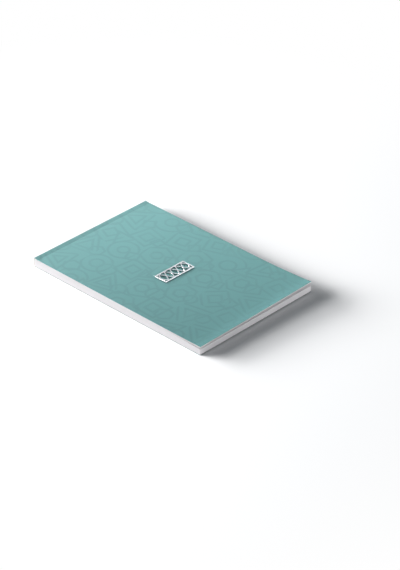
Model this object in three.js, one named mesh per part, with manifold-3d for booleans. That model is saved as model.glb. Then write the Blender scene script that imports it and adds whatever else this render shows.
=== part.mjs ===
// A soft-cover A5 notepad, glued along its short head edge and closed.
// Millimetres, +Z up. The origin is on the surface that the pad lies on, under the middle of the pad.
// The spine is at +Y, the foot at -Y, and the front cover faces up.

import * as THREE from "three";
import { mergeVertices } from "three/addons/utils/BufferGeometryUtils.js";
import Module from "manifold-3d";

const wasm = await Module();
wasm.setup();

// Sheet format
const padWidth = 148;
const padLength = 210;

// Paper block
const leafCount = 48;
const leafThickness = 0.145;

// Cover card, wrapped round the block in one sheet and creased beside the spine
const coverThickness = 0.35;
const creaseFromSpine = 5.6;

// Glue: a layer on the spine, and a band beside it on each face of the block
const spineGlueThickness = 0.5;
const sideGlueThickness = 0.07;
const sideGlueFromCrease = 1;

// The hair of air between two pieces that lie on each other
const layGap = 0.01;

// The front cover's curl: its length from the foot, and its rise at the two foot corners
const curlLength = 67;
const curlRiseLeft = 0.4;
const curlRiseRight = 2.4;
const curlBend = 2;
const curlSpread = 1.3;
const curlRows = 9;
const curlColumns = 8;

// Ornament on the front cover: a pierced metal band of lozenges in a frame
const ornamentWidth = 38;
const ornamentHeight = 15;
const ornamentThickness = 1.2;
const ornamentFromMiddle = 3.8;
const ornamentRail = 1;
const ornamentBar = 0.9;
const lozengeCount = 5;

// Heights, from the underside up
const backGlueZ = coverThickness + layGap;
const blockZ = backGlueZ + sideGlueThickness + layGap;
const leafPitch = leafThickness + layGap;
const blockTopZ = blockZ + leafCount * leafPitch - layGap;
const frontGlueZ = blockTopZ + layGap;
const frontCoverZ = frontGlueZ + sideGlueThickness + layGap;
const padHeight = frontCoverZ + coverThickness;

// Places along the pad, from the spine to the foot
const spineY = padLength / 2;
const footY = -padLength / 2;
const creaseY = spineY - creaseFromSpine;
const spinePanelInnerY = spineY - coverThickness;
const stripHeadY = spinePanelInnerY - layGap;
const spineGlueY = stripHeadY - spineGlueThickness;
const leafHeadY = spineGlueY - layGap;
const hingedHeadY = creaseY - layGap;
const sideGlueY = creaseY + sideGlueFromCrease;

// The pad opens at its middle: the upper half of the leaves turns with the front cover
const frontLeafCount = Math.ceil(leafCount / 2);

const printedCard = new THREE.MeshStandardMaterial({ color: 0x7fb4b2, roughness: 0.6, metalness: 0 });
const paper = new THREE.MeshStandardMaterial({ color: 0xf1f0ec, roughness: 0.85, metalness: 0 });
const driedGlue = new THREE.MeshStandardMaterial({ color: 0xe9e2cc, roughness: 0.5, metalness: 0 });
const silverMetal = new THREE.MeshStandardMaterial({ color: 0xd2d5d6, roughness: 0.3, metalness: 1 });

function namedMesh(name, geometry, material) {
  const mesh = new THREE.Mesh(geometry, material);
  mesh.name = name;
  return mesh;
}

// A flat sheet or strip over the full width, from one place along the pad to another
function flatSheet(name, material, fromY, toY, bottomZ, thickness) {
  const geometry = new THREE.BoxGeometry(padWidth, toY - fromY, thickness);
  const mesh = namedMesh(name, geometry, material);
  mesh.position.set(0, (fromY + toY) / 2, bottomZ + thickness / 2);
  return mesh;
}

// A group whose origin is on a hinge axis, for what turns about it
function hingeGroup(axisZ) {
  const group = new THREE.Group();
  group.position.set(0, creaseY, axisZ);
  return group;
}

// Adds a mesh that was placed in the pad's own frame to a hinge group, at the same place
function hangOn(group, mesh) {
  mesh.position.sub(group.position);
  group.add(mesh);
}

// Rise of the front cover over its flat height: nothing up to the curl, then growing to the foot,
// and more towards the right corner
function coverRise(x, y) {
  const alongCurl = Math.max(0, (footY + curlLength - y) / curlLength);
  const acrossCover = THREE.MathUtils.clamp(x / padWidth + 0.5, 0, 1);
  const footRise = curlRiseLeft + (curlRiseRight - curlRiseLeft) * acrossCover ** curlSpread;
  return footRise * alongCurl ** curlBend;
}

// The front cover from its crease to the foot: one flat row up to the curl, then the curl's rows
function makeFrontCover() {
  const length = hingedHeadY - footY;
  const rowCount = curlRows + 1;
  const geometry = new THREE.BoxGeometry(padWidth, length, coverThickness, curlColumns, rowCount, 1);
  const points = geometry.attributes.position;
  for (let i = 0; i < points.count; i += 1) {
    const rowFromFoot = Math.round((points.getY(i) / length + 0.5) * rowCount);
    const inCurl = rowFromFoot < rowCount;
    const y = inCurl ? footY + (curlLength * rowFromFoot) / curlRows : hingedHeadY;
    const rise = coverRise(points.getX(i), y);
    points.setY(i, y - (footY + hingedHeadY) / 2);
    points.setZ(i, points.getZ(i) + rise);
  }
  const cover = namedMesh("front_cover", geometry, printedCard);
  cover.position.set(0, (footY + hingedHeadY) / 2, frontCoverZ + coverThickness / 2);
  return cover;
}

// A closed geometry as a solid that can be cut
function solidFrom(geometry) {
  const bare = geometry.clone();
  bare.deleteAttribute("normal");
  bare.deleteAttribute("uv");
  const merged = mergeVertices(bare);
  const vertProperties = new Float32Array(merged.attributes.position.array);
  const triVerts = new Uint32Array(merged.index.array);
  return new wasm.Manifold(new wasm.Mesh({ numProp: 3, vertProperties, triVerts }));
}

function geometryFrom(solid) {
  const cut = solid.getMesh();
  const geometry = new THREE.BufferGeometry();
  geometry.setAttribute("position", new THREE.BufferAttribute(cut.vertProperties, cut.numProp));
  geometry.setIndex(new THREE.BufferAttribute(cut.triVerts, 1));
  geometry.computeVertexNormals();
  return geometry;
}

// A cutter through the ornament. Its corners are drawn in towards the centre of the circle that
// touches every side, so that half a bar's width is left along each side.
function cutter(corners, centre, inRadius) {
  const share = 1 - ornamentBar / 2 / inRadius;
  const drawnIn = corners.map((corner) => corner.clone().sub(centre).multiplyScalar(share).add(centre));
  const depth = 2 * ornamentThickness;
  const prism = new THREE.ExtrudeGeometry(new THREE.Shape(drawnIn), { depth, bevelEnabled: false });
  return solidFrom(prism.translate(0, 0, -depth / 2));
}

function triangleCutter(a, b, c) {
  const sides = [b.distanceTo(c), c.distanceTo(a), a.distanceTo(b)];
  const perimeter = sides[0] + sides[1] + sides[2];
  const centre = new THREE.Vector2()
    .addScaledVector(a, sides[0] / perimeter)
    .addScaledVector(b, sides[1] / perimeter)
    .addScaledVector(c, sides[2] / perimeter);
  const twiceArea = Math.abs((b.x - a.x) * (c.y - a.y) - (c.x - a.x) * (b.y - a.y));
  return cutter([a, b, c], centre, twiceArea / perimeter);
}

function lozengeCutter(centreX, halfWidth, halfHeight) {
  const corners = [
    new THREE.Vector2(centreX + halfWidth, 0),
    new THREE.Vector2(centreX, halfHeight),
    new THREE.Vector2(centreX - halfWidth, 0),
    new THREE.Vector2(centreX, -halfHeight),
  ];
  const inRadius = (halfWidth * halfHeight) / Math.hypot(halfWidth, halfHeight);
  return cutter(corners, new THREE.Vector2(centreX, 0), inRadius);
}

// The ornament: a rectangular plate, pierced so that a frame is left, with a row of lozenges whose
// bars cross it from rail to rail
function makeOrnament() {
  const halfLattice = ornamentWidth / 2 - ornamentRail;
  const halfHeight = ornamentHeight / 2 - ornamentRail;
  const halfWidth = halfLattice / lozengeCount;
  let solid = solidFrom(new THREE.BoxGeometry(ornamentWidth, ornamentHeight, ornamentThickness));
  for (let i = 0; i < lozengeCount; i += 1) {
    const centreX = -halfLattice + (2 * i + 1) * halfWidth;
    solid = solid.subtract(lozengeCutter(centreX, halfWidth, halfHeight));
  }
  for (const side of [-1, 1]) {
    for (let i = 0; i <= lozengeCount; i += 1) {
      const touchX = -halfLattice + 2 * i * halfWidth;
      const left = new THREE.Vector2(Math.max(touchX - halfWidth, -halfLattice), side * halfHeight);
      const right = new THREE.Vector2(Math.min(touchX + halfWidth, halfLattice), side * halfHeight);
      solid = solid.subtract(triangleCutter(left, right, new THREE.Vector2(touchX, 0)));
    }
  }
  const ornament = namedMesh("cover_ornament", geometryFrom(solid), silverMetal);
  const highestRise = coverRise(ornamentWidth / 2, -ornamentFromMiddle - ornamentHeight / 2);
  const bottomZ = padHeight + highestRise + layGap;
  ornament.position.set(0, -ornamentFromMiddle, bottomZ + ornamentThickness / 2);
  return ornament;
}

// The part of a leaf that turns, from the crease to the foot. Leaf 1 lies on top.
function makeLeaf(number) {
  const name = `leaf_${String(number).padStart(2, "0")}`;
  const bottomZ = blockTopZ - number * leafPitch + layGap;
  return flatSheet(name, paper, footY, hingedHeadY, bottomZ, leafThickness);
}

const notepad = new THREE.Group();

notepad.add(flatSheet("back_hinge_strip", printedCard, creaseY, stripHeadY, 0, coverThickness));
notepad.add(flatSheet("front_hinge_strip", printedCard, creaseY, stripHeadY, frontCoverZ, coverThickness));
notepad.add(flatSheet("spine_panel", printedCard, spinePanelInnerY, spineY, 0, padHeight));

const spineGlueZ = backGlueZ;
const spineGlueHeight = frontCoverZ - layGap - spineGlueZ;
notepad.add(flatSheet("spine_glue", driedGlue, spineGlueY, stripHeadY, spineGlueZ, spineGlueHeight));
notepad.add(flatSheet("back_side_glue", driedGlue, sideGlueY, leafHeadY, backGlueZ, sideGlueThickness));
notepad.add(flatSheet("front_side_glue", driedGlue, sideGlueY, leafHeadY, frontGlueZ, sideGlueThickness));

// The leaves' margins between the crease and the spine glue never part, so they are one block
const blockHeight = blockTopZ - blockZ;
notepad.add(flatSheet("bound_leaf_margins", paper, creaseY, leafHeadY, blockZ, blockHeight));

const frontHinge = hingeGroup(padHeight);
hangOn(frontHinge, makeFrontCover());
hangOn(frontHinge, makeOrnament());
notepad.add(frontHinge);

const backHinge = hingeGroup(0);
hangOn(backHinge, flatSheet("back_cover", printedCard, footY, hingedHeadY, 0, coverThickness));
notepad.add(backHinge);

for (let number = 1; number <= leafCount; number += 1) {
  hangOn(number <= frontLeafCount ? frontHinge : backHinge, makeLeaf(number));
}

export default notepad;
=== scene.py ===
"""A soft-cover notepad, glued along its short head edge, lying closed on a white surface.

Everything is in metres, in the part's own frame: +Z up, the spine at +Y, the foot at -Y.
"""

import math

import bpy
import numpy as np
from mathutils import Matrix, Vector


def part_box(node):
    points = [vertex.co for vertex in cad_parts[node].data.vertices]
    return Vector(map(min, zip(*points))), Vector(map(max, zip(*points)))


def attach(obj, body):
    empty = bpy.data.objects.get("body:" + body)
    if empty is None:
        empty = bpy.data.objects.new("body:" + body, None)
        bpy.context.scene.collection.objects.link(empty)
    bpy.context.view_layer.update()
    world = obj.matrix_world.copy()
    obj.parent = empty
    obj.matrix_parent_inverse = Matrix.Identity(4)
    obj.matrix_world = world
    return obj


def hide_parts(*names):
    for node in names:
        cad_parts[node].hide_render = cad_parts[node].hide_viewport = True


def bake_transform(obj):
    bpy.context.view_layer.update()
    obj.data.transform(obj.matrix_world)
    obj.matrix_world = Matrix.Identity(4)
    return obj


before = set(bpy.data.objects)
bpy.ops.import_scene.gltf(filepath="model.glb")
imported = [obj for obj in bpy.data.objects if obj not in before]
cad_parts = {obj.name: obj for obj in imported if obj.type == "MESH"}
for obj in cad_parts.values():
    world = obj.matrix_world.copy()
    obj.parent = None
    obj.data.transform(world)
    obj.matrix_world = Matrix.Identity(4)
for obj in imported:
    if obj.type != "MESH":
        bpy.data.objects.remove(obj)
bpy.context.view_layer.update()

# The camera looks down at the pad from beyond its near corner, with a long lens, as in the
# photograph. Azimuth 0 looks along +Y. The lens and the sensor's long side are in millimetres.
CAMERA_PLACE = Vector((-1.4816, -1.3788, 1.2696))
CAMERA_AZIMUTH = math.radians(-47.805)
CAMERA_ELEVATION = math.radians(32.226)
CAMERA_ROLL = math.radians(1.56)
CAMERA_LENS = 164.54
CAMERA_SENSOR = 36


def camera_turn(azimuth, elevation, roll):
    """Columns are the picture's right, the picture's up and the way back from the pad. The first
    two are rolled about the third."""
    back = Vector((
        math.sin(azimuth) * math.cos(elevation),
        -math.cos(azimuth) * math.cos(elevation),
        math.sin(elevation),
    ))
    level = Vector((math.cos(azimuth), math.sin(azimuth), 0))
    upright = back.cross(level)
    right = math.cos(roll) * level + math.sin(roll) * upright
    up = math.cos(roll) * upright - math.sin(roll) * level
    return Matrix((right, up, back)).transposed()


camera = bpy.data.objects.new("camera", bpy.data.cameras.new("camera"))
camera.data.lens = CAMERA_LENS
camera.data.sensor_width = CAMERA_SENSOR
camera.data.clip_start = 0.1
camera.data.clip_end = 20
camera.location = CAMERA_PLACE
camera.rotation_euler = camera_turn(CAMERA_AZIMUTH, CAMERA_ELEVATION, CAMERA_ROLL).to_euler()
bpy.context.scene.collection.objects.link(camera)
bpy.context.scene.camera = camera

# The cover: one sheet of 0.35 mm card, printed teal and matt laminated outside, bare white inside.
# It is folded over the spine and scored beside it, where it opens. The front sheet runs from the foot
# over the spine to just under the block, and the back sheet starts there.
panel_low, panel_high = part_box("front_cover")
strip_low, strip_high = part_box("front_hinge_strip")
spine_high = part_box("spine_panel")[1]
HALF_WIDTH = spine_high.x
FOOT_Y = panel_low.y
SPINE_Y = spine_high.y
CREASE_Y = strip_low.y
PAD_TOP = strip_high.z
CARD_THICKNESS = strip_high.z - strip_low.z
CUT_BLUNTNESS = 0.00003
FOLD_RADIUS = 0.0008
SEAM_Y = SPINE_Y - 0.0012
SCORE_DEPTH = 0.0002
SCORE_HALF_WIDTH = 0.00042
SCORE_REACH = 0.0015
SCORE_INSIDE_FRONT = 0.4
SCORE_INSIDE_BACK = 0.2
BEND_INTO_STRIP = 0.0002
SPINE_SWELL = 0.0004
CREASE_SWELL = 0.00016
SWELL_CLIMB = 0.0022
SWELL_SETTLE = 0.02
CURL_LENGTH = 0.067
CURL_RISE_LEFT = 0.0004
CURL_RISE_RIGHT = panel_high.z - PAD_TOP
CURL_BEND = 2
CURL_SPREAD = 1.3
WAVE_HEIGHT = 0.00003
WAVE_FADE = 0.03
COVER_COLUMNS = 49
FOLD_STEPS = 7
CURL_STEP = 0.0015
FLAT_STEP = 0.004
STRIP_STEP = 0.0008
SCORE_STEP = 0.0001
SEAM_STEP = 0.0003


def cover_rise(x, y):
    """Nothing up to the curl, then the square of the way along it, times a foot rise that grows
    from the left corner to the right one."""
    along = np.clip((FOOT_Y + CURL_LENGTH - y) / CURL_LENGTH, 0, 1)
    across = np.clip(x / (2 * HALF_WIDTH) + 0.5, 0, 1)
    foot_rise = CURL_RISE_LEFT + (CURL_RISE_RIGHT - CURL_RISE_LEFT) * across**CURL_SPREAD
    return foot_rise * along**CURL_BEND


def cover_waves(x, y):
    """A hand-sized unevenness of a few hundredths of a millimetre: three slow waves that cross, in
    radians a metre. They die out towards the crease, and never dip as far as the leaf below."""
    fade = np.clip((CREASE_Y - y) / WAVE_FADE, 0, 1)
    wave = np.sin(41 * x + 17 * y + 0.6) * np.cos(29 * y - 13 * x) + 0.6 * np.sin(67 * y + 31 * x)
    return WAVE_HEIGHT * fade * wave


def score_dip(y):
    """The groove that the scoring rule pressed into the card: a bell curve across the crease."""
    return SCORE_DEPTH * np.exp(-(((y - CREASE_Y) / SCORE_HALF_WIDTH) ** 2))


def binding_swell(y):
    """The glued spine is a little thicker than the pressed crease: from the crease the card climbs
    by the square of a quarter sine to the spine fold, and towards the foot it climbs off the crease
    over a couple of millimetres and settles back over the next few centimetres."""
    to_spine = np.clip((y - CREASE_Y) / (SPINE_Y - FOLD_RADIUS - CREASE_Y), 0, 1)
    to_foot = np.clip(CREASE_Y - y, 0, None)
    climb = 1 - np.exp(-to_foot / SWELL_CLIMB)
    settle = np.exp(-to_foot / SWELL_SETTLE)
    return SPINE_SWELL * np.sin(to_spine * math.pi / 2) ** 2 + CREASE_SWELL * climb * settle


def stations(*stretches):
    """Places along a path: each stretch is (from, to, largest step), and shared ends are kept once."""
    places = [np.array([stretches[0][0]])]
    for start, end, step in stretches:
        count = max(1, math.ceil(abs(end - start) / step))
        places.append(np.linspace(start, end, count + 1)[1:])
    return np.concatenate(places)


def fold(centre_y, centre_z, from_angle, to_angle):
    """Points and outward directions on a quarter circle in the Y-Z plane."""
    angle = np.linspace(from_angle, to_angle, FOLD_STEPS)[1:-1]
    outward = np.stack([np.cos(angle), np.sin(angle)], -1)
    return np.array([centre_y, centre_z]) + FOLD_RADIUS * outward, outward


def straight(ys, zs, direction):
    """Points on a straight stretch in the Y-Z plane, all with one outward direction."""
    points = np.stack(np.broadcast_arrays(ys, zs), -1).astype(float)
    return points, np.broadcast_to(direction, points.shape).astype(float)


def swept_card(stretch_list):
    """Carries a Y-Z profile across the width. Gives the outer and inner face as grids of points
    [along the path, across, xyz], and the flat card's own coordinates for them."""
    points = np.concatenate([stretch[0] for stretch in stretch_list])
    outward = np.concatenate([stretch[1] for stretch in stretch_list])
    steps = np.linalg.norm(np.diff(points, axis=0), axis=1)
    along = np.concatenate([[0], np.cumsum(steps)])
    x = np.linspace(-HALF_WIDTH, HALF_WIDTH, COVER_COLUMNS)
    outer = np.empty((len(points), COVER_COLUMNS, 3))
    outer[..., 0] = x
    outer[..., 1:] = points[:, None, :]
    inner = outer.copy()
    inner[..., 1:] -= CARD_THICKNESS * outward[:, None, :]
    flat = np.stack(np.broadcast_arrays(x + HALF_WIDTH, along[:, None]), -1)
    return outer, inner, flat


def sheet_object(name, outer, inner, flat, face_materials):
    """Joins two grids of points, a sheet's outer and inner face, into one closed shell. Its faces
    take the materials (outer, cut edge, inner), and its UV map is the flat sheet in metres."""
    rows, columns = outer.shape[:2]
    count = rows * columns
    grid = np.arange(count).reshape(rows, columns)
    corners = np.stack([grid[:-1, :-1], grid[:-1, 1:], grid[1:, 1:], grid[1:, :-1]], -1).reshape(-1, 4)
    rim = np.concatenate([grid[0, :-1], grid[:-1, -1], grid[-1, :0:-1], grid[:0:-1, 0]])
    rim_next = np.roll(rim, -1)
    edges = np.stack([rim_next, rim, rim + count, rim_next + count], -1)
    faces = np.concatenate([corners, edges, corners[:, ::-1] + count])
    kinds = np.repeat([0, 1, 2], [len(corners), len(edges), len(corners)])
    points = np.concatenate([outer.reshape(-1, 3), inner.reshape(-1, 3)])

    mesh = bpy.data.meshes.new(name)
    mesh.from_pydata(points.tolist(), [], faces.tolist())
    mesh.polygons.foreach_set("material_index", kinds.astype(np.int32))
    for material in face_materials:
        mesh.materials.append(material)

    # The cut edges are mapped as one long strip round the sheet, as wide as it is thick
    uv = np.tile(flat.reshape(-1, 2), (2, 1))[faces]
    rim_length = np.concatenate([[0], np.cumsum(np.linalg.norm(np.diff(points[rim], axis=0), axis=1))])
    rim_end = rim_length + np.linalg.norm(points[rim_next] - points[rim], axis=1)
    along_edge = np.stack([rim_end, rim_length, rim_length, rim_end], -1)
    thickness = np.linalg.norm(outer[0, 0] - inner[0, 0])
    across_edge = np.array([thickness, thickness, 0, 0])
    edge_uv = np.stack(np.broadcast_arrays(along_edge, across_edge), -1)
    uv[len(corners):len(corners) + len(edges)] = edge_uv
    layer = mesh.uv_layers.new(name="flat_sheet")
    layer.data.foreach_set("uv", uv.astype(np.float32).ravel())
    mesh.shade_smooth()
    mesh.set_sharp_from_angle(angle=math.radians(40))
    made = bpy.data.objects.new(name, mesh)
    bpy.context.scene.collection.objects.link(made)
    return made


def write_values(sheet, name, values):
    """Gives each point of a sheet a value, which its materials read by the name."""
    layer = sheet.data.attributes.new(name, "FLOAT", "POINT")
    layer.data.foreach_set("value", np.asarray(values, np.float32))


def soften_edges(piece, width):
    """A cut edge is a little blunt: a two-step bevel on every sharp edge."""
    bevel = piece.modifiers.new("blunt_cut", "BEVEL")
    bevel.width = width
    bevel.segments = 2
    bevel.limit_method = "ANGLE"
    bevel.angle_limit = math.radians(50)
    bevel.use_clamp_overlap = True


def new_material(name):
    """A node material, with its Principled shader and its node tree."""
    material = bpy.data.materials.new(name)
    material.use_nodes = True
    return material, material.node_tree.nodes["Principled BSDF"], material.node_tree


def add_node(tree, kind, inputs, **settings):
    """A new node with its settings. Each of its inputs, by name or number, is set to a value or
    linked to an output socket."""
    node = tree.nodes.new(kind)
    for setting, value in settings.items():
        setattr(node, setting, value)
    for key, value in inputs.items():
        if isinstance(value, bpy.types.NodeSocket):
            tree.links.new(value, node.inputs[key])
        else:
            node.inputs[key].default_value = value
    return node


def maths(tree, operation, *values, clamp=False):
    """What a Math node gives. Each value is a number or an output socket."""
    inputs = dict(enumerate(values))
    return add_node(tree, "ShaderNodeMath", inputs, operation=operation, use_clamp=clamp).outputs[0]


def between(tree, share, low, high, clamp=False):
    """The number that lies a share of the way from low to high."""
    return maths(tree, "MULTIPLY_ADD", share, high - low, low, clamp=clamp)


def colour_between(tree, share, start, end):
    """The colour that lies a share of the way from start to end."""
    change = [last - first for first, last in zip(start, end)]
    inputs = {0: share, 1: change, 2: start}
    return add_node(tree, "ShaderNodeVectorMath", inputs, operation="MULTIPLY_ADD").outputs["Vector"]


def toned(tree, colour, tone):
    """A colour times a tone."""
    inputs = {0: colour, "Scale": tone}
    return add_node(tree, "ShaderNodeVectorMath", inputs, operation="SCALE").outputs["Vector"]


def sheet_value(tree, name):
    """What write_values gave the sheet under this name."""
    return add_node(tree, "ShaderNodeAttribute", {}, attribute_name=name).outputs["Fac"]


def stretched(tree, vector, stretch):
    return add_node(tree, "ShaderNodeMapping", {"Vector": vector, "Scale": stretch}).outputs["Vector"]


def flat_sheet_map(tree, stretch=(1, 1, 1)):
    """The sheet's own UV map in metres. A stretch above 1 makes a texture finer that way."""
    source = add_node(tree, "ShaderNodeUVMap", {}, uv_map="flat_sheet")
    return stretched(tree, source.outputs["UV"], stretch)


def noise(tree, vector, scale, detail, roughness=0.5, distortion=0.0):
    inputs = {
        "Vector": vector,
        "Scale": scale,
        "Detail": detail,
        "Roughness": roughness,
        "Distortion": distortion,
    }
    return add_node(tree, "ShaderNodeTexNoise", inputs).outputs["Fac"]


def bumped(tree, shader, height, distance):
    """Raises the shader's surface by the height, from 0 to 1, times the distance."""
    bump = add_node(tree, "ShaderNodeBump", {"Height": height, "Distance": distance, "Strength": 1.0})
    tree.links.new(bump.outputs["Normal"], shader.inputs["Normal"])


def fibre_group():
    """Paper and card: matted fibres a millimetre or so long, over a slow cloudiness from the way the
    pulp settled. Gives a tone round 1 and a height from 0 to 1."""
    group = bpy.data.node_groups.new("fibres", "ShaderNodeTree")
    group.interface.new_socket(name="Vector", in_out="INPUT", socket_type="NodeSocketVector")
    for given_name in ("Fibre Scale", "Cloud Scale", "Contrast"):
        group.interface.new_socket(name=given_name, in_out="INPUT", socket_type="NodeSocketFloat")
    for made_name in ("Tone", "Height"):
        group.interface.new_socket(name=made_name, in_out="OUTPUT", socket_type="NodeSocketFloat")
    given = group.nodes.new("NodeGroupInput").outputs
    clouds = noise(group, given["Vector"], given["Cloud Scale"], detail=2)
    fibres = noise(
        group, given["Vector"], given["Fibre Scale"], detail=5, roughness=0.65, distortion=1.6
    )
    slow = maths(group, "SUBTRACT", clouds, 0.5)
    fine = maths(group, "SUBTRACT", fibres, 0.5)
    both = maths(group, "MULTIPLY_ADD", slow, 0.6, fine)
    tone = maths(group, "MULTIPLY_ADD", both, given["Contrast"], 1.0)
    add_node(group, "NodeGroupOutput", {"Tone": tone, "Height": fibres})
    return group


FIBRES = fibre_group()


def fibres_on(tree, vector, fibre_scale, cloud_scale, contrast):
    """The tone and the height of fibres."""
    inputs = {
        "Vector": vector,
        "Fibre Scale": fibre_scale,
        "Cloud Scale": cloud_scale,
        "Contrast": contrast,
    }
    given = add_node(tree, "ShaderNodeGroup", inputs, node_tree=FIBRES).outputs
    return given["Tone"], given["Height"]


# Printed face: teal ink with a slightly darker, slightly glossier pattern, under a matt film. Shade is
# painted darker on the strip glued beside the spine, a highlight is painted paler along the foot, and
# a painted sheen makes it a little greyer towards the spine. The pattern's ink is uneven in strength.
# The teal at the foot, and at the spine greyed by a painted sheen
TEAL_AT_FOOT = (0.155, 0.37, 0.368)
TEAL_WITH_SHEEN_AT_SPINE = (0.17, 0.37, 0.368)
PRINT_CELL = 0.034
PRINT_ROW = 0.87
PRINT_SLIDE = 0.04
PRINT_STROKE = 0.0036
PRINT_SOFTNESS = 0.7
PRINT_DEPTH = 0.1
RING_SIDES = 60
# Painted shade on the strip glued beside the spine: its depth, and the width of its soft edge
STRIP_SHADE_DEPTH = 0.09
STRIP_SHADE_EDGE = 0.0009
# Painted highlight along the foot: its strength, and how far it reaches
FOOT_HIGHLIGHT_DEPTH = 0.25
FOOT_HIGHLIGHT_REACH = 0.009


def write_painted_light_masks(card):
    """1 on the strip that is glued beside the spine, where shade is painted, a bell curve of the
    distance from the foot, where a highlight is painted, and the share of the way from the foot to the
    spine."""
    places = np.empty(3 * len(card.data.vertices), np.float32)
    card.data.vertices.foreach_get("co", places)
    y = places[1::3]
    # Where shade is painted beside the spine
    write_values(card, "spine_strip_shade", np.clip((y - CREASE_Y) / STRIP_SHADE_EDGE + 0.5, 0, 1))
    # Where a highlight is painted along the foot
    write_values(card, "foot_highlight", np.exp(-(((y - FOOT_Y) / FOOT_HIGHLIGHT_REACH) ** 2)))
    # The share along which a sheen is painted, greyer towards the spine
    write_values(card, "spine_share", np.clip((y - FOOT_Y) / (SPINE_Y - FOOT_Y), 0, 1))


def six_chances(tree, cell_place, seed):
    """Six numbers from 0 to 1 that go with a cell, from two layers of white noise."""
    chances = []
    for layer in (3.7, 11.3):
        inputs = {0: cell_place, 1: (layer, layer + seed, layer)}
        layered = add_node(tree, "ShaderNodeVectorMath", inputs).outputs["Vector"]
        chance = add_node(tree, "ShaderNodeTexWhiteNoise", {"Vector": layered}).outputs["Color"]
        chances += list(add_node(tree, "ShaderNodeSeparateColor", {0: chance}).outputs)
    return chances


def motif_mask(tree, vector, size_low, size_high, inner, seed):
    """Outline motifs on a staggered lattice, one in each cell: a triangle, square, hexagon or ring,
    turned and shifted by chance, and if inner is true with a smaller one of its kind inside.
    A regular outline is where the distance to its nearest side, the radius times the cosine of the
    angle from that side's middle, is the motif's size. Sizes are shares of a cell."""
    place = add_node(tree, "ShaderNodeSeparateXYZ", {0: vector}).outputs
    u = maths(tree, "MULTIPLY_ADD", place["X"], 1 / PRINT_CELL, seed)
    v = maths(tree, "MULTIPLY_ADD", place["Y"], 1 / (PRINT_ROW * PRINT_CELL), seed)
    row = maths(tree, "FLOOR", v)
    half_step = maths(tree, "FRACT", maths(tree, "MULTIPLY", row, 0.5))
    staggered = maths(tree, "ADD", u, half_step)
    column = maths(tree, "FLOOR", staggered)
    cell_place = add_node(tree, "ShaderNodeCombineXYZ", {"X": column, "Y": row}).outputs[0]
    turn, kind, size, slide_x, slide_y, inner_share = six_chances(tree, cell_place, seed)

    def centred(cell_share, slide):
        middle = between(tree, slide, 0.5 - PRINT_SLIDE, 0.5 + PRINT_SLIDE)
        return maths(tree, "SUBTRACT", maths(tree, "FRACT", cell_share), middle)

    x = centred(staggered, slide_x)
    y = maths(tree, "MULTIPLY", centred(v, slide_y), PRINT_ROW)
    radius = maths(tree, "SQRT", maths(tree, "MULTIPLY_ADD", y, y, maths(tree, "MULTIPLY", x, x)))
    # The chance picks 0, 1, 2 or 3, which stand for 3, 4, 6 and RING_SIDES sides
    pick = maths(tree, "FLOOR", maths(tree, "MULTIPLY", kind, 3.999))
    past_square = maths(tree, "GREATER_THAN", pick, 1.5)
    past_hexagon = maths(tree, "GREATER_THAN", pick, 2.5)
    ring_extra = maths(tree, "MULTIPLY_ADD", past_hexagon, RING_SIDES - 7, past_square)
    sides = maths(tree, "ADD", maths(tree, "ADD", pick, 3), ring_extra)
    sector = maths(tree, "DIVIDE", 2 * math.pi, sides)
    turned = maths(tree, "MULTIPLY_ADD", turn, 2 * math.pi, maths(tree, "ARCTAN2", y, x))
    within = maths(tree, "FLOORED_MODULO", turned, sector)
    from_middle = maths(tree, "MULTIPLY_ADD", sector, -0.5, within)
    reach = maths(tree, "MULTIPLY", radius, maths(tree, "COSINE", from_middle))
    # A triangle's sides lie nearer its middle than a ring's line does, for the same overall size
    fullness = maths(tree, "COSINE", maths(tree, "DIVIDE", 0.8 * math.pi, sides))
    line = maths(tree, "MULTIPLY", between(tree, size, size_low, size_high), fullness)
    half_stroke = PRINT_STROKE / 2 / PRINT_CELL

    def outline(line_reach):
        gap = maths(tree, "ABSOLUTE", maths(tree, "SUBTRACT", reach, line_reach))
        soft = maths(tree, "SUBTRACT", half_stroke, gap)
        return maths(tree, "DIVIDE", soft, PRINT_SOFTNESS * half_stroke, clamp=True)

    if not inner:
        return outline(line)
    inner_line = maths(tree, "MULTIPLY", line, between(tree, inner_share, 0.38, 0.5))
    return maths(tree, "MAXIMUM", outline(line), outline(inner_line))


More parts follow.
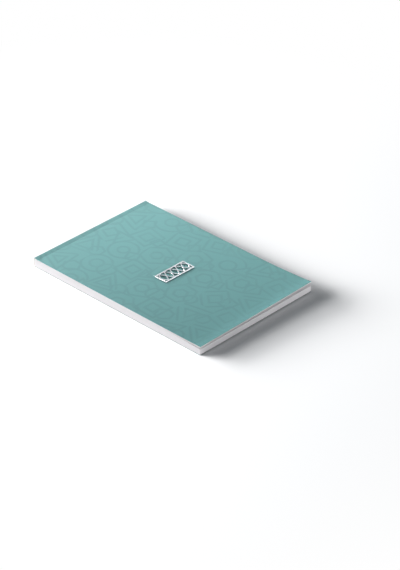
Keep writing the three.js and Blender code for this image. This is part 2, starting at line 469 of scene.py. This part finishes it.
def printed_face():
    material, shader, tree = new_material("printed_teal_card")
    sheet = flat_sheet_map(tree)
    large = motif_mask(tree, sheet, size_low=0.42, size_high=0.5, inner=True, seed=0.0)
    small = motif_mask(tree, sheet, size_low=0.18, size_high=0.27, inner=False, seed=7.5)
    pattern = maths(tree, "MAXIMUM", large, small)
    ink_strength = between(tree, noise(tree, sheet, scale=40, detail=2), -0.1, 2.1, clamp=True)
    ink = maths(tree, "MULTIPLY", pattern, ink_strength)

    # Painted shade: the strip glued beside the spine is darkened
    pressed = between(tree, sheet_value(tree, "spine_strip_shade"), 1, 1 - STRIP_SHADE_DEPTH)
    # Painted highlight: the foot is made paler
    plain = maths(tree, "MULTIPLY_ADD", sheet_value(tree, "foot_highlight"), FOOT_HIGHLIGHT_DEPTH, pressed)
    inked = maths(tree, "MULTIPLY_ADD", ink, -PRINT_DEPTH, plain)
    fibre_tone, fibre_height = fibres_on(tree, sheet, fibre_scale=2600, cloud_scale=24, contrast=0.03)
    tone = maths(tree, "MULTIPLY", inked, fibre_tone)
    # Painted sheen: the teal turns greyer towards the spine
    teal = colour_between(tree, sheet_value(tree, "spine_share"), TEAL_AT_FOOT, TEAL_WITH_SHEEN_AT_SPINE)
    tree.links.new(toned(tree, teal, tone), shader.inputs["Base Color"])

    film = between(tree, pattern, 0.54, 0.48)
    scuffed = maths(tree, "MULTIPLY_ADD", noise(tree, sheet, scale=55, detail=3), 0.08, film)
    tree.links.new(scuffed, shader.inputs["Roughness"])
    shader.inputs["Specular IOR Level"].default_value = 0.16
    bumped(tree, shader, fibre_height, 0.000004)
    return material


def card_core(name, colour):
    """The card's core at a cut edge, with fibres that lie along it."""
    material, shader, tree = new_material(name)
    edge = flat_sheet_map(tree, (1, 6, 1))
    tone, height = fibres_on(tree, edge, fibre_scale=1500, cloud_scale=40, contrast=0.1)
    tree.links.new(toned(tree, colour, tone), shader.inputs["Base Color"])
    shader.inputs["Roughness"].default_value = 0.85
    bumped(tree, shader, height, 0.00002)
    return material


def bare_card():
    material, shader, tree = new_material("bare_white_card")
    sheet = flat_sheet_map(tree)
    tone, height = fibres_on(tree, sheet, fibre_scale=900, cloud_scale=30, contrast=0.05)
    tree.links.new(toned(tree, (0.84, 0.84, 0.82), tone), shader.inputs["Base Color"])
    shader.inputs["Roughness"].default_value = 0.7
    bumped(tree, shader, height, 0.000015)
    return material


# The back card's cut edge is painted dark: painted shade for the contact shadow along the pad's bottom
# edge
WHITE_CORE = (0.86, 0.86, 0.85)
CONTACT_SHADE_CORE = (0.08, 0.08, 0.075)
PRINTED_FACE = printed_face()
BARE_CARD = bare_card()
FRONT_FACES = (PRINTED_FACE, card_core("white_card_core", WHITE_CORE), BARE_CARD)
# The back card's cut edge carries the painted contact shadow
BACK_FACES = (PRINTED_FACE, card_core("contact_shade_card_core", CONTACT_SHADE_CORE), BARE_CARD)


def front_sheet():
    """From the foot up the flat front with its curl, over the spine's upper fold, down the spine and
    round its lower fold."""
    up, back, down = (0, 1), (1, 0), (0, -1)
    fold_y = SPINE_Y - FOLD_RADIUS
    fold_top = PAD_TOP + SPINE_SWELL
    top_ys = stations(
        (FOOT_Y, FOOT_Y + CURL_LENGTH, CURL_STEP),
        (FOOT_Y + CURL_LENGTH, CREASE_Y - SCORE_REACH, FLAT_STEP),
        (CREASE_Y - SCORE_REACH, CREASE_Y + SCORE_REACH, SCORE_STEP),
        (CREASE_Y + SCORE_REACH, fold_y, STRIP_STEP),
    )
    spine_zs = stations((fold_top - FOLD_RADIUS, FOLD_RADIUS, STRIP_STEP))
    under_ys = stations((fold_y, SEAM_Y, SEAM_STEP))
    outer, inner, flat = swept_card([
        straight(top_ys, PAD_TOP + binding_swell(top_ys), up),
        fold(fold_y, fold_top - FOLD_RADIUS, math.pi / 2, 0),
        straight(SPINE_Y, spine_zs, back),
        fold(fold_y, FOLD_RADIUS, 0, -math.pi / 2),
        straight(under_ys, 0, down),
    ])
    on_front = slice(0, len(top_ys))
    x, y = outer[on_front, :, 0], outer[on_front, :, 1]
    lift = cover_rise(x, y) + cover_waves(x, y)
    outer[on_front, :, 2] += lift - score_dip(y)
    inner[on_front, :, 2] += lift - SCORE_INSIDE_FRONT * score_dip(y)
    return sheet_object("cover_front_sheet", outer, inner, flat, FRONT_FACES)


def back_sheet():
    """From the seam near the spine along the underside to the foot."""
    ys = stations(
        (SEAM_Y, CREASE_Y + SCORE_REACH, STRIP_STEP),
        (CREASE_Y + SCORE_REACH, CREASE_Y - SCORE_REACH, SCORE_STEP),
        (CREASE_Y - SCORE_REACH, FOOT_Y, FLAT_STEP),
    )
    outer, inner, flat = swept_card([straight(ys, 0, (0, -1))])
    outer[..., 2] += score_dip(outer[..., 1])
    inner[..., 2] += SCORE_INSIDE_BACK * score_dip(inner[..., 1])
    return sheet_object("cover_back_sheet", outer, inner, flat, BACK_FACES)


front_card = front_sheet()
back_card = back_sheet()
for card, body, height in ((front_card, "front_cover", PAD_TOP), (back_card, "back_cover", 0)):
    write_painted_light_masks(card)
    soften_edges(card, CUT_BLUNTNESS)
    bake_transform(card)
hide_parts("front_cover", "front_hinge_strip", "spine_panel")
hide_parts("back_cover", "back_hinge_strip")

# The block: 48 leaves of uncoated 120 g/m2 paper, trimmed together. Each is one sheet from the foot
# into the spine glue, with fine steps beside the glued margin over a stretch that is wider the deeper
# it lies.
LEAF_NAMES = sorted(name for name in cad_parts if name.startswith("leaf_"))
LEAF_HEAD_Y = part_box("bound_leaf_margins")[1].y
TRIM_LOOSENESS = 0.00004
LEAF_BEND = 0.0003
LEAF_BEND_PER_DEPTH = 0.6
PRESSED_SHARE = 0.12
PRESSED_BEND = 12
CLOSE_LEAVES = 4
FANNED_LEAVES = 2
CLOSE_SHARE = 0.96
FAN_CHANCE = 0.3
PALEST_TONE = 1.0
DARKEST_TONE = 0.985
CURLED_COLUMNS = 25
FLAT_COLUMNS = 5
LEAF_STEP = 0.02
MARGIN_STEP = 0.003
BEND_STEP = 0.0001
leaf_chance = np.random.default_rng(48)


def leaf_paper():
    """White uncoated paper. Each leaf has its own faint tone, as the sheets of a ream do."""
    material, shader, tree = new_material("uncoated_white_paper")
    sheet = flat_sheet_map(tree)
    fibre_tone, height = fibres_on(tree, sheet, fibre_scale=700, cloud_scale=45, contrast=0.035)
    tone = maths(tree, "MULTIPLY", fibre_tone, sheet_value(tree, "leaf_tone"))
    tree.links.new(toned(tree, (0.86, 0.84, 0.85), tone), shader.inputs["Base Color"])
    shader.inputs["Roughness"].default_value = 0.9
    shader.inputs["Specular IOR Level"].default_value = 0.3
    bumped(tree, shader, height, 0.000012)
    return material


def cut_paper():
    """A leaf's trimmed edge: the knife leaves short scratches across the stack."""
    material, shader, tree = new_material("trimmed_paper_edge")
    edge = flat_sheet_map(tree, (1, 8, 1))
    fibre_tone, height = fibres_on(tree, edge, fibre_scale=1100, cloud_scale=60, contrast=0.12)
    tone = maths(tree, "MULTIPLY", fibre_tone, sheet_value(tree, "leaf_tone"))
    tree.links.new(toned(tree, (0.86, 0.835, 0.85), tone), shader.inputs["Base Color"])
    shader.inputs["Roughness"].default_value = 0.9
    shader.inputs["Specular IOR Level"].default_value = 0.3
    bumped(tree, shader, height, 0.00003)
    return material


PAPER, PAPER_EDGE = leaf_paper(), cut_paper()


def leaf_height(x, y, height, follows):
    """Towards the foot, away from the glue, the stack is pressed thinner, by a high power of the way
    there, so that it shows at the foot only. follows is the share, from 0 to 1, in which a leaf goes
    up with the cover's curl instead of down with the stack."""
    way = np.clip((CREASE_Y - y) / (CREASE_Y - FOOT_Y), 0, 1)
    pressed = PRESSED_SHARE * (height - CARD_THICKNESS) * way**PRESSED_BEND
    return height + follows * cover_rise(x, y) - (1 - follows) * pressed


def leaf_object(name, near_cover, follows):
    """A closed sheet from the foot over the leaf's node and its bound margin, trimmed loose by a few
    hundredths of a millimetre. near_cover is the height of the cover face from which the leaf's depth
    is taken, and with it the width of the finely stepped stretch beside the margin."""
    low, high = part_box(name)
    depth = abs(near_cover - (low.z + high.z) / 2)
    bend_start = CREASE_Y + BEND_INTO_STRIP
    bend = LEAF_BEND + LEAF_BEND_PER_DEPTH * depth
    bend_end = CREASE_Y - 2 * bend
    ys = stations(
        (FOOT_Y + leaf_chance.uniform(0, TRIM_LOOSENESS), FOOT_Y + CURL_LENGTH, FLAT_STEP),
        (FOOT_Y + CURL_LENGTH, bend_end, LEAF_STEP),
        (bend_end, bend_start, max(bend / 6, BEND_STEP)),
        (bend_start, LEAF_HEAD_Y, MARGIN_STEP),
    )
    columns = CURLED_COLUMNS if follows > 0 else FLAT_COLUMNS
    x = np.linspace(-1, 1, columns) * (HALF_WIDTH - leaf_chance.uniform(0, TRIM_LOOSENESS))
    top = np.empty((len(ys), len(x), 3))
    top[..., 0] = x
    top[..., 1] = ys[:, None]
    under = top.copy()
    for face, height in ((top, high.z), (under, low.z)):
        face[..., 2] = leaf_height(x, ys[:, None], height, follows)
    # A shift of some metres gives each leaf a piece of the paper's texture of its own
    flat = np.stack(np.broadcast_arrays(x + leaf_chance.uniform(1, 9), ys[:, None]), -1)
    leaf = sheet_object(name + "_sheet", top, under, flat, (PAPER, PAPER_EDGE, PAPER))
    own_tone = leaf_chance.uniform(DARKEST_TONE, PALEST_TONE)
    write_values(leaf, "leaf_tone", np.full(len(leaf.data.vertices), own_tone))
    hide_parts(name, "bound_leaf_margins")
    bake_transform(leaf)


# A few top leaves stay close under the curled cover, and the next ones fan out down to the stack
for leaf_number, leaf_name in enumerate(LEAF_NAMES, 1):
    opens_with_front = leaf_number <= len(LEAF_NAMES) // 2
    past_close = leaf_number - CLOSE_LEAVES + leaf_chance.uniform(-FAN_CHANCE, FAN_CHANCE)
    left_behind = past_close / FANNED_LEAVES
    follows = CLOSE_SHARE * min(max(1 - left_behind, 0), 1)
    leaf_object(leaf_name, PAD_TOP if opens_with_front else 0, follows)

# Glue: cream hot-melt, a layer on the spine and a thin band beside it on each face of the block.
# It shows only as a fine line at the two ends of the spine, so the solids are kept as they are.
GLUE_NODES = ("spine_glue", "front_side_glue", "back_side_glue")


def hot_melt():
    """A little cloudy and uneven in gloss, with small bubbles near the surface."""
    material, shader, tree = new_material("hot_melt_glue")
    place = tree.nodes.new("ShaderNodeTexCoord").outputs["Object"]
    cloudy = noise(tree, place, scale=260, detail=4)
    bubbles = add_node(tree, "ShaderNodeTexVoronoi", {"Vector": place, "Scale": 1400})
    tone = between(tree, cloudy, 0.92, 1.08)
    tree.links.new(toned(tree, (0.78, 0.74, 0.62), tone), shader.inputs["Base Color"])
    tree.links.new(between(tree, cloudy, 0.28, 0.48), shader.inputs["Roughness"])
    shader.inputs["Subsurface Weight"].default_value = 0.2
    shader.inputs["Subsurface Scale"].default_value = 0.0006
    bumped(tree, shader, bubbles.outputs["Distance"], 0.00003)
    return material


GLUE = hot_melt()
for glue_name in GLUE_NODES:
    glue_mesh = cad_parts[glue_name].data
    glue_mesh.materials.clear()
    glue_mesh.materials.append(GLUE)

# Ornament: a satin silver band of lozenges, pierced from one plate and glued to the cover.
# The real edges are polished round, so its node is copied, merged and bevelled.
WELD_DISTANCE = 0.000001
ORNAMENT_BLUNTNESS = 0.00014


def satin_silver():
    """Silver with a fine lengthwise brushing, which is noise stretched along X, and faint spots."""
    material, shader, tree = new_material("satin_silver")
    place = tree.nodes.new("ShaderNodeTexCoord").outputs["Object"]
    brushed = noise(tree, stretched(tree, place, (0.06, 1, 1)), scale=5200, detail=3)
    spots = noise(tree, place, scale=300, detail=3)
    tone = between(tree, brushed, 0.95, 1.03)
    tree.links.new(toned(tree, (0.54, 0.55, 0.56), tone), shader.inputs["Base Color"])
    tree.links.new(between(tree, spots, 0.2, 0.32), shader.inputs["Roughness"])
    shader.inputs["Metallic"].default_value = 1.0
    bumped(tree, shader, brushed, 0.000004)
    return material


def merged_copy(node, name):
    """The node's loose triangles as one mesh with shared corners."""
    mesh = node.data.copy()
    mesh.name = name
    made = bpy.data.objects.new(name, mesh)
    bpy.context.scene.collection.objects.link(made)
    weld = made.modifiers.new("weld", "WELD")
    weld.merge_threshold = WELD_DISTANCE
    return made


ornament = merged_copy(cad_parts["cover_ornament"], "silver_lozenge_band")
ornament.data.materials.clear()
ornament.data.materials.append(satin_silver())
soften_edges(ornament, ORNAMENT_BLUNTNESS)
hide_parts("cover_ornament")
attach(ornament, "front_cover")

# The stage: a white surface without an end, just below the pad, so that its contact line shows.
# Away from the pad it turns into a white glow, which keeps the background white from every side.
FLOOR_REACH = 6
FLOOR_Z = -0.0005
GLOW_START = 0.22
GLOW_FULL = 0.5


def white_surface():
    """Matt white, mixed with a white glow by the distance from the pad's middle."""
    material, shader, tree = new_material("white_surface")
    shader.inputs["Base Color"].default_value = (0.93, 0.93, 0.935, 1)
    shader.inputs["Roughness"].default_value = 1
    shader.inputs["Specular IOR Level"].default_value = 0
    place = tree.nodes.new("ShaderNodeTexCoord").outputs["Object"]
    distance = add_node(tree, "ShaderNodeVectorMath", {0: place}, operation="LENGTH").outputs["Value"]
    limits = {"Value": distance, "From Min": GLOW_START, "From Max": GLOW_FULL}
    far_share = add_node(tree, "ShaderNodeMapRange", limits, interpolation_type="SMOOTHSTEP")
    glow = tree.nodes.new("ShaderNodeEmission").outputs["Emission"]
    mixed = {0: far_share.outputs["Result"], 1: shader.outputs["BSDF"], 2: glow}
    surface = add_node(tree, "ShaderNodeMixShader", mixed).outputs["Shader"]
    tree.links.new(surface, tree.nodes["Material Output"].inputs["Surface"])
    return material


floor_mesh = bpy.data.meshes.new("white_surface")
floor_corners = [
    (-FLOOR_REACH, -FLOOR_REACH, FLOOR_Z),
    (FLOOR_REACH, -FLOOR_REACH, FLOOR_Z),
    (FLOOR_REACH, FLOOR_REACH, FLOOR_Z),
    (-FLOOR_REACH, FLOOR_REACH, FLOOR_Z),
]
floor_mesh.from_pydata(floor_corners, [], [(0, 1, 2, 3)])
floor_mesh.materials.append(white_surface())
floor = bpy.data.objects.new("white_surface", floor_mesh)
bpy.context.scene.collection.objects.link(floor)

# The lamps: two low ones behind the left side draw the long shadow, and light the surface alone.
# The others light everything but the surface: one the long side, one the top from beyond the spine
# in a narrow beam that fades towards the foot, one the top from the right, and one the foot side.
surface_lit = bpy.data.collections.new("surface_lit")
surface_lit.objects.link(floor)
pad_lit = bpy.data.collections.new("pad_lit")
pad_lit.objects.link(floor)
pad_lit.collection_objects[0].light_linking.link_state = "EXCLUDE"


def area_lamp(name, azimuth, elevation, distance, size, power, receivers, aim=(0, 0, 0), spread=180):
    """A lamp (width, height) that faces its aim. Azimuth 0 stands it at -Y, and 90 at +X."""
    lamp = bpy.data.objects.new(name, bpy.data.lights.new(name, "AREA"))
    turn, tilt = math.radians(azimuth), math.radians(elevation)
    way = Vector((math.sin(turn) * math.cos(tilt), -math.cos(turn) * math.cos(tilt), math.sin(tilt)))
    lamp.location = way * distance + Vector(aim)
    lamp.rotation_euler = way.to_track_quat("Z", "Y").to_euler()
    lamp.data.shape = "RECTANGLE"
    lamp.data.size, lamp.data.size_y = size
    lamp.data.energy = power
    lamp.data.spread = math.radians(spread)
    bpy.context.scene.collection.objects.link(lamp)
    lamp.light_linking.receiver_collection = receivers


area_lamp("low_shadow_key", -159, 10.4, 4.0, (3.4, 0.67), 344, surface_lit)
area_lamp("shadow_key", -142.5, 15.9, 4.0, (3.2, 1.5), 412, surface_lit)
area_lamp("left_key", -128, 6, 1.2, (0.4, 0.2), 6.0, pad_lit)
area_lamp("spine_soft", 168, 40, 1.2, (0.6, 0.1), 0.95, pad_lit, aim=(0, 0.2, 0), spread=27)
area_lamp("right_soft", 112, 45, 0.6, (0.3, 0.3), 0.6, pad_lit)
area_lamp("foot_corner_soft", 45, 14, 0.65, (0.3, 0.15), 1.51, pad_lit)

# The room: a dim, even, slightly cool light. The camera and what mirrors it see it at full strength.
ROOM_COLOUR = (0.9, 0.96, 1, 1)
ROOM_LIGHT = 0.19
world = bpy.data.worlds.new("white_room")
world.use_nodes = True
bpy.context.scene.world = world
room = world.node_tree.nodes["Background"]
room.inputs["Color"].default_value = ROOM_COLOUR
ray = world.node_tree.nodes.new("ShaderNodeLightPath").outputs
seen = maths(world.node_tree, "MAXIMUM", ray["Is Camera Ray"], ray["Is Glossy Ray"])
world.node_tree.links.new(between(world.node_tree, seen, ROOM_LIGHT, 1), room.inputs["Strength"])
bpy.context.scene.view_settings.view_transform = "Standard"
